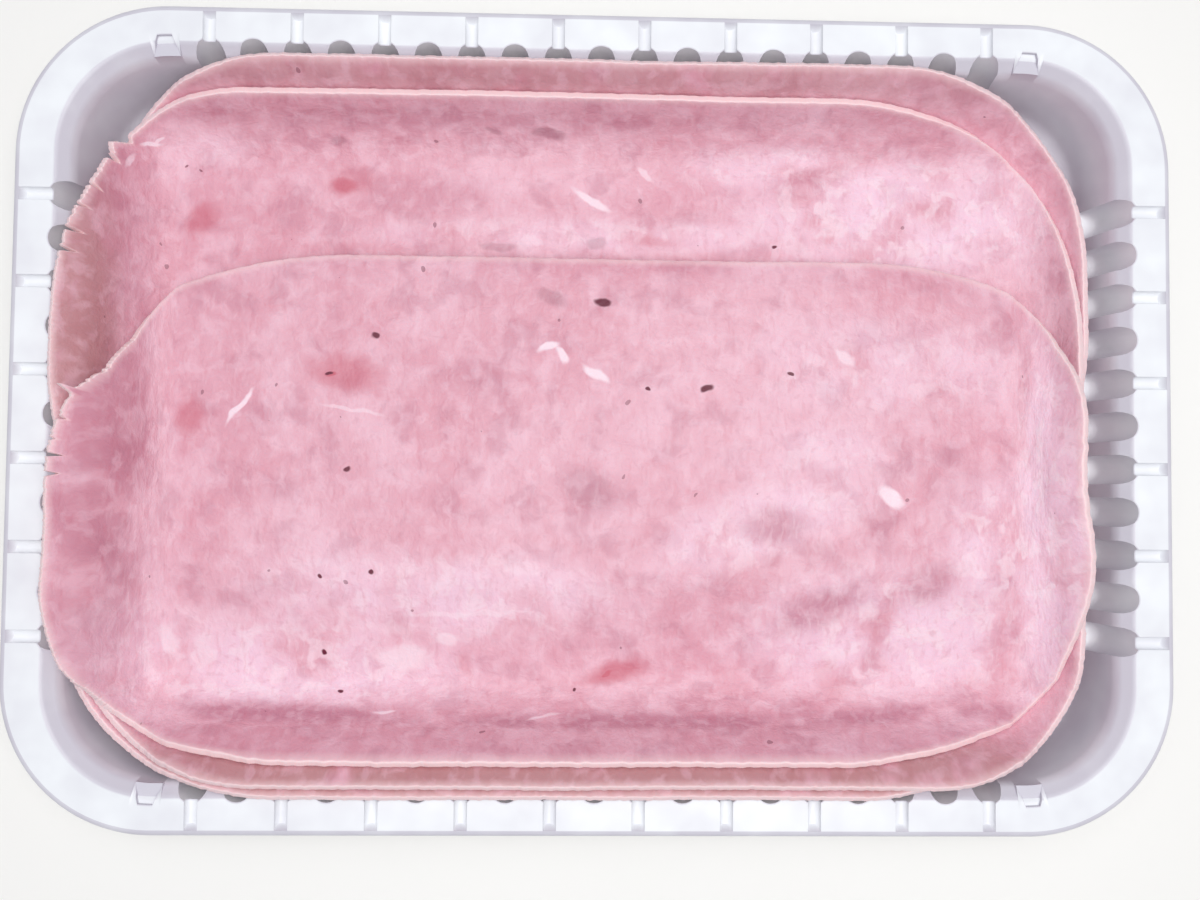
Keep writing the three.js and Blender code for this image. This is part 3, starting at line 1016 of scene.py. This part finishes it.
@dataclass
class Slice:
    """One slice: its outline laid flat, a rectangle with quarter ellipses for corners, in mm."""

    node: str
    left: float
    right: float
    front: float
    back: float
    left_back: Corner
    right_back: Corner
    left_front: Corner
    right_front: Corner
    tears: list[Tear] = field(default_factory=list)
    marks: list[Mark] = field(default_factory=list)
    seed: float = 0.0
    uneven: float = 0.13
    frayed: float = 0.036
    jag: float = 0.08
    fade: float = 13.0
    torn_fade: float = 4.5
    cut_round: float = 0.35
    cut_shows: float = 0.15
    crease: float = math.radians(70)
    around: int = 1100
    insets: tuple[float, ...] = (
        0, 0.04, 0.1, 0.2, 0.35, 0.7, 1.2, 1.8, 2.4, 3, 3.8, 4.6, 5.4, 6.2, 7, 8, 9.6, 11.2, 13.0,
    )

    def covered(self, kind: Spot, u: Array, v: Array) -> Array:
        """Gives how far soft marks of a kind cover points: the most of any, eased round its rim.

        Args:
            kind: The kind of mark.
            u: Place along the tray.
            v: Place across it.

        Returns:
            Shares from 0 to 1.
        """
        most = np.zeros_like(u)
        for mark in (one for one in self.marks if one.kind is kind):
            cos, sin = math.cos(math.radians(mark.turn)), math.sin(math.radians(mark.turn))
            along = ((u - mark.u) * cos + (v - mark.v) * sin) / (mark.long / 2)
            across = ((v - mark.v) * cos - (u - mark.u) * sin) / (mark.wide / 2)
            share = 1 - smoothstep(np.hypot(along, across), 0.4, 1.5)
            most = np.maximum(most, mark.strength * share)
        return most

    def outside(self, u: Array, v: Array) -> Array:
        """Gives how far points are outside the outline, below zero inside it.

        Args:
            u: Place along the tray.
            v: Place across it.

        Returns:
            The distances.
        """
        on_left = u < (self.left + self.right) / 2
        on_front = v < (self.front + self.back) / 2
        kinds = [self.left_back, self.right_back, self.left_front, self.right_front]
        pick = np.where(on_left, 0, 1) + np.where(on_front, 2, 0)
        side = np.array([c.side for c in kinds])[pick]
        end = np.array([c.end for c in kinds])[pick]
        past_u = np.maximum(np.where(on_left, self.left - u, u - self.right) + side, 0)
        past_v = np.maximum(np.where(on_front, self.front - v, v - self.back) + end, 0)
        share = np.hypot(past_u / side, past_v / end)
        safe = np.where(share > 0, share, 1)
        return np.where(share > 0, np.hypot(past_u, past_v) * (1 - 1 / safe), -np.minimum(side, end))

    def outline(self) -> tuple[Array, Array]:
        """Gives the smooth outline, counterclockwise from the middle of the right side.

        It is four straight lines and four quarter ellipses, walked at even steps but closer
        together on the left, where tears need them.

        Returns:
            Points and inward unit normals, each shaped (points, 2).
        """
        quarter = np.linspace(0, math.pi / 2, 400)
        turns = [
            (self.right, self.back, self.right_back, 0),
            (self.left, self.back, self.left_back, 1),
            (self.left, self.front, self.left_front, 2),
            (self.right, self.front, self.right_front, 3),
        ]
        straight = (self.back - self.right_back.end, self.front + self.right_front.end)
        pieces = [np.array([[self.right, sum(straight) / 2]])]
        for x, y, corner, number in turns:
            angle = quarter + number * math.pi / 2
            cos, sin = np.cos(angle), np.sin(angle)
            out_x = 1 if number in (0, 3) else -1
            out_y = 1 if number < 2 else -1
            centre = (x - out_x * corner.side, y - out_y * corner.end)
            pieces.append(np.stack([centre[0] + corner.side * cos, centre[1] + corner.end * sin], axis=1))
        pieces.append(pieces[0])
        loop = np.concatenate(pieces)
        step = np.linalg.norm(np.diff(loop, axis=0), axis=1)
        loop = loop[np.concatenate([[True], step > 1e-6])]
        step = np.linalg.norm(np.diff(loop, axis=0), axis=1)
        middle = (loop[1:] + loop[:-1]) / 2
        fine = 1 + 2.5 * (middle[:, 0] < self.left + 14) * (len(self.tears) > 0)
        run = np.concatenate([[0], np.cumsum(step * fine)])
        wanted = np.linspace(0, run[-1], self.around, endpoint=False)
        points = np.stack([np.interp(wanted, run, loop[:, k]) for k in (0, 1)], axis=1)
        ahead = np.roll(points, -1, axis=0) - np.roll(points, 1, axis=0)
        ahead /= np.linalg.norm(ahead, axis=1, keepdims=True)
        inward = np.stack([-ahead[:, 1], ahead[:, 0]], axis=1)
        for _ in range(3):
            inward = inward + np.roll(inward, 1, axis=0) + np.roll(inward, -1, axis=0)
            inward /= np.linalg.norm(inward, axis=1, keepdims=True)
        return points, inward

    def ragged(self, points: Array) -> tuple[Array, Array]:
        """Gives how far the real edge stands inside the smooth outline.

        Every edge wanders a little. On a torn side each tear is a steep notch, or a shred where its
        depth is below zero, and between the tears the edge is frayed.

        Args:
            points: The outline.

        Returns:
            The edge's wandering and the tears' depth, in mm.
        """
        draw = np.random.default_rng(int(self.seed * 1000) + 7)
        angle = np.linspace(0, 2 * math.pi, len(points), endpoint=False)
        wander = np.zeros(len(points))
        for waves in WAVES:
            wander += self.uneven / waves**0.5 * (1 + np.sin(waves * angle + draw.uniform(0, ANY_PHASE)))
        for waves in FINE_WAVES:
            wander += self.frayed * np.sin(waves * angle + draw.uniform(0, ANY_PHASE))
        notches = np.zeros(len(points))
        if not self.tears:
            return wander, notches
        across = points[:, 1]
        on_left = smoothstep(-points[:, 0], -(self.left + 30), -(self.left + 20))
        places = [tear.v for tear in self.tears]
        torn = on_left * smoothstep(across, min(places) - 6, min(places) - 1)
        torn *= 1 - smoothstep(across, max(places) + 3, max(places) + 9)
        jag = sum(np.sin(across * pace + draw.uniform(0, ANY_PHASE)) for pace in JAG_PACES)
        notches += torn * self.jag * np.maximum(jag, -0.5)
        for tear in self.tears:
            notch = np.clip(1 - np.abs(across - tear.v) / (tear.open / 2), 0, 1) ** 0.8 * on_left
            notches += tear.deep * notch
        return wander, notches

    def lift(self, bed: Bed, below: list["Slice"], u: Array, v: Array) -> Array:
        """Gives the slice's height: one pitch over each slice below it, sinking past its edge.

        Args:
            bed: How the slices lie.
            below: The slices under this one.
            u: Place along the tray.
            v: Place across it.

        Returns:
            Heights above the lowest slice's.
        """
        covered = [1 - smoothstep(other.outside(u, v), bed.past, bed.past + bed.over) for other in below]
        return bed.pitch * sum(covered, np.zeros_like(u)) + bed.swell(u, v)

    def build(self, bed: Bed, below: list["Slice"], finish: PressedHam) -> bpy.types.Object:
        """Builds the slice and puts it in the place of its solid.

        Its rings follow the outline at growing distances inwards, then shrink to the middle.

        Args:
            bed: How the slices lie.
            below: The slices under this one.
            finish: The ham.

        Returns:
            The piece.
        """
        points, inward = self.outline()
        wander, notches = self.ragged(points)
        middle = np.array([(self.left + self.right) / 2, (self.front + self.back) / 2])
        corner = self.cut_round
        near = np.array(self.insets)
        core = points + inward * self.fade

        def ring(d: float) -> Array:
            """The outline moved inwards by d, its raggedness fading out over the band."""
            depth = d + wander * (1 - d / self.fade) + notches * max(1 - d / self.torn_fade, 0)
            return points + inward * depth[:, None]

        shares = 1 - np.linspace(0, 1, 30)[1:-1]
        whole = [middle + (core - middle) * share for share in shares[::-1]]
        face = np.stack([*whole, *(ring(d) for d in near[::-1])])
        distance = np.concatenate([np.full(len(whole), self.fade), near[::-1]])
        drop = corner - np.sqrt(np.maximum(corner**2 - np.maximum(corner - distance, 0) ** 2, 0))
        sides = np.linspace(bed.thick - corner, corner, 5)[1:-1]
        sparse = [i for i, d in enumerate(distance) if d < 1.5 or i % 2 == 0 or i == 0]
        flat = np.concatenate([face, np.repeat(face[-1:], len(sides), axis=0), face[sparse][::-1]])
        height = np.concatenate([bed.thick - drop, sides, drop[sparse][::-1]])
        u, v = flat[..., 0], flat[..., 1]
        n = self.lift(bed, below, u, v) + height[:, None]
        rings = bed.place(u, v, n)
        edge = np.concatenate([distance, np.zeros(len(sides)), distance[sparse][::-1]])
        cut = edge < self.cut_shows
        marks = {
            "laid_flat": np.concatenate([flat * MM, np.zeros((*u.shape, 1))], axis=-1),
            "from_edge": np.broadcast_to(edge[:, None], u.shape),
            "cut": np.broadcast_to(cut[:, None].astype(float), u.shape),
            # Soft marks sent to the material: darker lean meat with painted shade, paler meat with painted
            # light, and painted shade alone.
            **{kind.value: self.covered(kind, u, v) for kind in (Spot.LEAN_AND_SHADE, Spot.PALE_AND_LIT, Spot.PAINTED_SHADE)},
        }
        name = self.node.replace("slice", "ham_slice")
        material = finish.material(self.node, self.seed, self.marks)
        piece = closed_surface(name, rings, material, self.crease, marks)
        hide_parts(self.node)
        return piece


# Marks by kind, each row with the numbers of a Mark: u, v, long, wide, turn and strength.
UPPER_BACK_MARKS: dict[Spot, list[tuple[float, ...]]] = {
    Spot.BLUSH: [
        (-52.4, 48.6, 6.0, 3.8, -8, 0.85), (-50.5, 49.5, 10, 6, 0, 0.4), (-81.5, 41.2, 7, 5, 40, 0.6),
        (12.0, 37.9, 7.0, 2.2, 0, 0.35),
    ],
    # The two long bands, at the left and along the back, are painted shade on the curls; the rest are darker
    # lean meat.
    Spot.LEAN_AND_SHADE: [
        (-53.5, 59.5, 3.4, 2.6, 20), (-10.3, 62.4, 7.2, 2.8, -10, 0.9), (-21.8, 63.0, 4, 1.8, -25, 0.9),
        (-35, 47, 26, 9, 0, 0.35), (48, 53, 9, 5, 20, 0.5), (62, 49, 6, 6, 0, 0.4),
        (-70, 24, 12, 5, 15, 0.5), (-100, 24, 18, 60, 0, 0.4), (-36, 66, 110, 6, 0, 0.6),
    ],
    # Painted shade on the left curl.
    Spot.PAINTED_SHADE: [
        (-110, 18, 16, 60, 0, 0.9),
    ],
    Spot.FAT: [
        (-93.5, 57.2, 5.2, 1.3, 8, 0.9), (-91.5, 58.6, 3.0, 0.8, 50, 0.8),
        (-99.5, 52.0, 4.2, 1.6, 60, 0.6), (-1.5, 46.4, 8.5, 1.5, -30), (9.8, 52.6, 4.6, 1.2, -50, 0.6),
    ],
    Spot.PORE: [
        (-10.3, 62.4, 6.6, 2.7, -10, 0.26), (-21.8, 63.0, 3.6, 1.7, -25, 0.22),
        (-53.5, 59.5, 3.2, 2.3, 20, 0.2), (-0.4, 37.6, 4.6, 2.2, 0, 0.24),
        (-20.5, 36.3, 7.0, 1.8, 0, 0.2), (36.5, 37.2, 1.2, 0.8), (79, 29, 0.9, 0.9),
        (-85.0, 52.0, 1.0, 0.5, 20, 0.7), (-81.6, 51.4, 0.9, 0.5, -10, 0.7),
    ],
    # The wide ones at the right are painted light, where the slice faces the lamps; the rest are paler meat.
    Spot.PALE_AND_LIT: [
        (64, 44, 66, 26, 0, 1), (38, 54, 40, 12, 0, 0.7), (0, 39, 90, 7, 0, 0.7),
        (-82, 54, 22, 12, 30, 0.3),
    ],
}
FRONT_TOP_MARKS: dict[Spot, list[tuple[float, ...]]] = {
    Spot.BLUSH: [
        (-50.5, 9.4, 13, 6.5, -8, 0.6), (-53.2, 9.2, 2.2, 1.6, 30), (4.2, -50.6, 12, 4.6, 18, 0.75),
        (3.0, -51.0, 3.4, 1.5, 25), (-80.8, 0.2, 5, 7, -20, 0.55), (-26.0, -49.0, 3, 4.5, 10, 0.35),
        (57.5, -40, 5, 8, -15, 0.3), (48, -52.5, 5, 10, 20, 0.3),
    ],
    Spot.PORE: [
        (-53.6, 9.3, 1.1, 0.8, 30), (-9.5, 24.8, 5.6, 2.8, -15, 0.2), (-1.5, -13.6, 10, 7, -18, 0.1),
        (0.8, 24.1, 2.8, 1.6, -10), (-44.7, 16.4, 1.6, 1.6), (22.1, 6.9, 2.2, 1.5, 10),
        (-49.7, -10.1, 1.2, 1), (38.9, 10.6, 1.4, 0.7, -10), (10.6, 6.6, 1, 1), (-54.3, -46.8, 1, 1),
        (-50.8, -56.2, 1.2, 0.9), (-3.8, -55.3, 0.9, 1), (-54.6, -31.0, 1, 1), (-44.5, -30.6, 1, 0.8),
    ],
    # The three long bands along the front and the wide one at the left are painted shade on the curls; the
    # rest are darker lean meat.
    Spot.LEAN_AND_SHADE: [
        (-9.5, 24.8, 6.6, 3.6, -15, 0.9), (-53.5, 20.5, 4.4, 2.2, 15, 0.6),
        (-1.5, -13.6, 15, 9, -18, 0.6), (-62.8, -14.0, 7, 5, 0, 0.6), (-73.4, -13.4, 5, 4.6, 0, 0.5),
        (-24.0, 9.0, 22, 7, 0, 0.35), (74.0, -12.0, 12, 9, 30, 0.3), (-62, -63.0, 46, 6.5, -3, 1),
        (6, -65.5, 90, 6, 0, 0.9), (64, -62.5, 44, 6, 5, 0.9), (-104, -16, 28, 62, 0, 0.6),
        (71, -6, 6, 5, 0, 0.9), (60.5, -7, 7, 8, 0, 0.8), (58, -21, 4, 4, 0, 0.8),
        (36, -20.5, 14, 8, 0, 0.8), (46, -36.5, 22, 7, 25, 0.9), (67, -32, 12, 7, 30, 0.9),
    ],
    # Those on the right side and at the lower left are painted light, where the slice faces the lamps; the
    # rest are paler meat.
    Spot.PALE_AND_LIT: [
        (-98, -48, 24, 40, 0, 0.5), (-62, -50, 70, 22, 0, 0.9), (99, -24, 26, 84, 0, 1),
        (33, -21, 42, 15, 20, 0.8), (61, -42, 56, 26, 0, 1.0), (82, -25, 24, 26, 0, 0.9),
        (-27, -35, 60, 16, 0, 0.8), (46, -6, 34, 12, 0, 0.5), (-56, -33, 26, 16, 0, 0.5),
        (60, 12, 60, 18, 0, 0.5),
    ],
    Spot.FAT: [
        (-71.1, 2.4, 8.4, 1.1, 52), (-9.8, 14.8, 4.2, 1.6, 15), (-7.4, 13.4, 3.4, 1.6, -50),
        (-0.6, 9.9, 5.8, 2, -35), (-49.0, 2.0, 12, 0.8, -8, 0.5), (50.1, 13.6, 4.6, 1.8, -40, 0.7),
        (59.3, -14.4, 5.8, 2.6, -40), (-38.5, -47.6, 10, 5, 0, 0.75), (-29.5, -44.0, 5, 2.6, 0, 0.7),
        (-86.0, -44.0, 4.5, 6.5, 40, 0.6), (-25.5, -38.6, 22, 1, 2, 0.45),
        (-42.0, -62.5, 4.4, 0.9, 5, 0.7), (-10.0, -63.6, 7, 1.0, 20, 0.5),
    ],
}


def marks_of(rows: dict[Spot, list[tuple[float, ...]]]) -> list[Mark]:
    """Makes the marks whose numbers are listed by kind."""
    return [Mark(kind, *row) for kind, places in rows.items() for row in places]


@dataclass
class HamStack:
    """The five slices, from the lowest up: two at the back, then three at the front."""

    bed: Bed
    finish: PressedHam = PressedHam()

    def slices(self) -> list[Slice]:
        """Gives the slices in the order they were laid."""
        inner = Corner(39, 39)
        return [
            Slice(
                "slice_back_lower", -103, 104.3, -21, 78.9,
                Corner(40, 42), Corner(46, 48), inner, inner, seed=0.31,
                # Painted shade on the strip that curls up the back wall.
                marks=[Mark(Spot.PAINTED_SHADE, -10, 80, 230, 18, 0, 0.6)],
            ),
            Slice(
                "slice_back_upper", -114, 104.6, -30, 72.8,
                Corner(44, 55), Corner(58, 57), inner, inner, seed=0.83,
                tears=[
                    Tear(58, 1.6, 2.0), Tear(55, -1.8, 3.4), Tear(52, 2.6, 1.7), Tear(45, 2.6, 0.8),
                    Tear(40.5, 2.0, 0.7), Tear(35.5, 2.9, 0.9), Tear(31.5, 2.6, 1.0),
                ],
                marks=marks_of(UPPER_BACK_MARKS),
            ),
            Slice(
                "slice_front_lowest", -109.4, 93, -81.0, 18,
                inner, inner, Corner(50, 42), Corner(42, 42), seed=1.27,
                # Painted shade on the front strip that curls up the wall under the top slice's edge.
                marks=[Mark(Spot.PAINTED_SHADE, 0, -80, 280, 24, 0, 1)],
            ),
            Slice(
                "slice_front_lower", -109.4, 104.6, -79.9, 22,
                inner, inner, Corner(46, 44), Corner(40, 39), seed=1.71,
                marks=[
                    Mark(Spot.PORE, -66.4, -73.6, 1.8, 1.3),
                    # Painted shade on the front strip that curls up the wall under the top slice's edge.
                    Mark(Spot.PAINTED_SHADE, 0, -80, 260, 24, 0, 1),
                ],
            ),
            Slice(
                "slice_front_top", -115.1, 108.3, -76.9, 33.5,
                Corner(68, 44), Corner(54, 33), Corner(56, 46), Corner(62, 54), seed=2.19,
                tears=[
                    Tear(4.0, -3.2, 0.9), Tear(-1, 1.2, 0.7), Tear(-5, 1.0, 0.6), Tear(-8, 2.8, 0.8),
                    Tear(-11.6, 2.4, 0.9),
                ],
                marks=marks_of(FRONT_TOP_MARKS),
            ),
        ]

    def build(self) -> list[bpy.types.Object]:
        """Builds every slice over those below it."""
        made = []
        laid: list[Slice] = []
        for one in self.slices():
            made.append(one.build(self.bed, list(laid), self.finish))
            laid.append(one)
        return made


# ---- Studio ------------------------------------------------------------------------------------


@dataclass(frozen=True)
class Lamp:
    """A square soft light: name, place in metres, side in metres, power in watts and colour."""

    name: str
    place: tuple[float, float, float]
    size: float
    power: float
    tint: str


@dataclass
class Studio:
    """A pale floor, soft light from all round and from above, and the camera over the pack.

    The camera's turn is in degrees about X, Y and Z, in that order.
    """

    floor_light: str = "fbfaf6"
    floor_dark: str = "f6f5f1"
    floor_half: float = 1.5
    room: str = "f4f6fd"
    room_strength: float = 0.36
    lamps: tuple[Lamp, ...] = (
        Lamp("key_overhead", (0.09, -0.03, 0.7), 0.45, 2.6, "fffdfb"),
        Lamp("softbox", (-0.05, 0.08, 0.8), 0.8, 2.1, "f8faff"),
    )
    camera_mm: tuple[float, float, float] = (-5.410, -14.012, 231.068)
    camera_turned: tuple[float, float, float] = (2.17172, -1.60547, 0.57615)
    lens_mm: float = 33.0
    sensor_mm: float = 36.0

    def floor(self) -> None:
        """Lays the floor, a plain matt card."""
        half = self.floor_half
        corners = [(-half, -half, 0), (half, -half, 0), (half, half, 0), (-half, half, 0)]
        mesh = bpy.data.meshes.new("floor")
        mesh.from_pydata(corners, [], [(0, 1, 2, 3)])
        made, tree = empty_material("matt_card")
        place = add(tree, "TexCoord").outputs["Object"]
        tone = add(tree, "TexNoise", {"Vector": place, "Scale": per(120.0), "Detail": 2.0})
        tones = {0: tone.outputs["Fac"], 6: linear(self.floor_light), 7: linear(self.floor_dark)}
        colour = add(tree, "Mix", tones, data_type="RGBA")
        shader = add(tree, "BsdfPrincipled", {"Base Color": colour.outputs[2], "Roughness": 0.8})
        add(tree, "OutputMaterial", {"Surface": shader.outputs[0]})
        mesh.materials.append(made)
        floor = bpy.data.objects.new("floor", mesh)
        bpy.context.scene.collection.objects.link(floor)

    def hang(self, lamp: Lamp) -> None:
        """Hangs a lamp so that it faces the pack."""
        data = bpy.data.lights.new(lamp.name, "AREA")
        data.shape = "SQUARE"
        data.size = lamp.size
        data.energy = lamp.power
        data.color = linear(lamp.tint)[:3]
        hung = bpy.data.objects.new(lamp.name, data)
        bpy.context.scene.collection.objects.link(hung)
        hung.location = lamp.place
        hung.rotation_mode = "QUATERNION"
        hung.rotation_quaternion = hung.location.to_track_quat("Z", "Y")

    def light(self) -> None:
        """Sets the light of the room and the lamps."""
        world = bpy.data.worlds.new("white_room")
        world.use_nodes = True
        background = world.node_tree.nodes["Background"]
        background.inputs["Color"].default_value = linear(self.room)
        background.inputs["Strength"].default_value = self.room_strength
        bpy.context.scene.world = world
        for lamp in self.lamps:
            self.hang(lamp)

    def camera(self) -> None:
        """Sets the camera over the pack, a little in front of its middle."""
        data = bpy.data.cameras.new("camera")
        data.sensor_width = self.sensor_mm
        data.lens = self.lens_mm
        data.clip_start = 0.01
        data.clip_end = 20.0
        camera = bpy.data.objects.new("camera", data)
        bpy.context.scene.collection.objects.link(camera)
        camera.location = [part * MM for part in self.camera_mm]
        camera.rotation_euler = [math.radians(angle) for angle in self.camera_turned]
        bpy.context.scene.camera = camera

    def build(self) -> None:
        """Sets up floor, light, camera and the picture's tones."""
        self.floor()
        self.light()
        self.camera()
        bpy.context.scene.view_settings.view_transform = "Standard"


def main() -> None:
    """Builds the pack and the studio."""
    logging.basicConfig(level=logging.INFO, format="%(message)s")
    form = TrayForm()
    tray = Tray(form).build()
    log.info("%s: %d faces", tray.name, len(tray.data.polygons))
    for piece in HamStack(Bed(form)).build():
        log.info("%s: %d faces", piece.name, len(piece.data.polygons))
    Studio().build()
    bpy.context.view_layer.update()


if __name__ == "__main__":
    main()
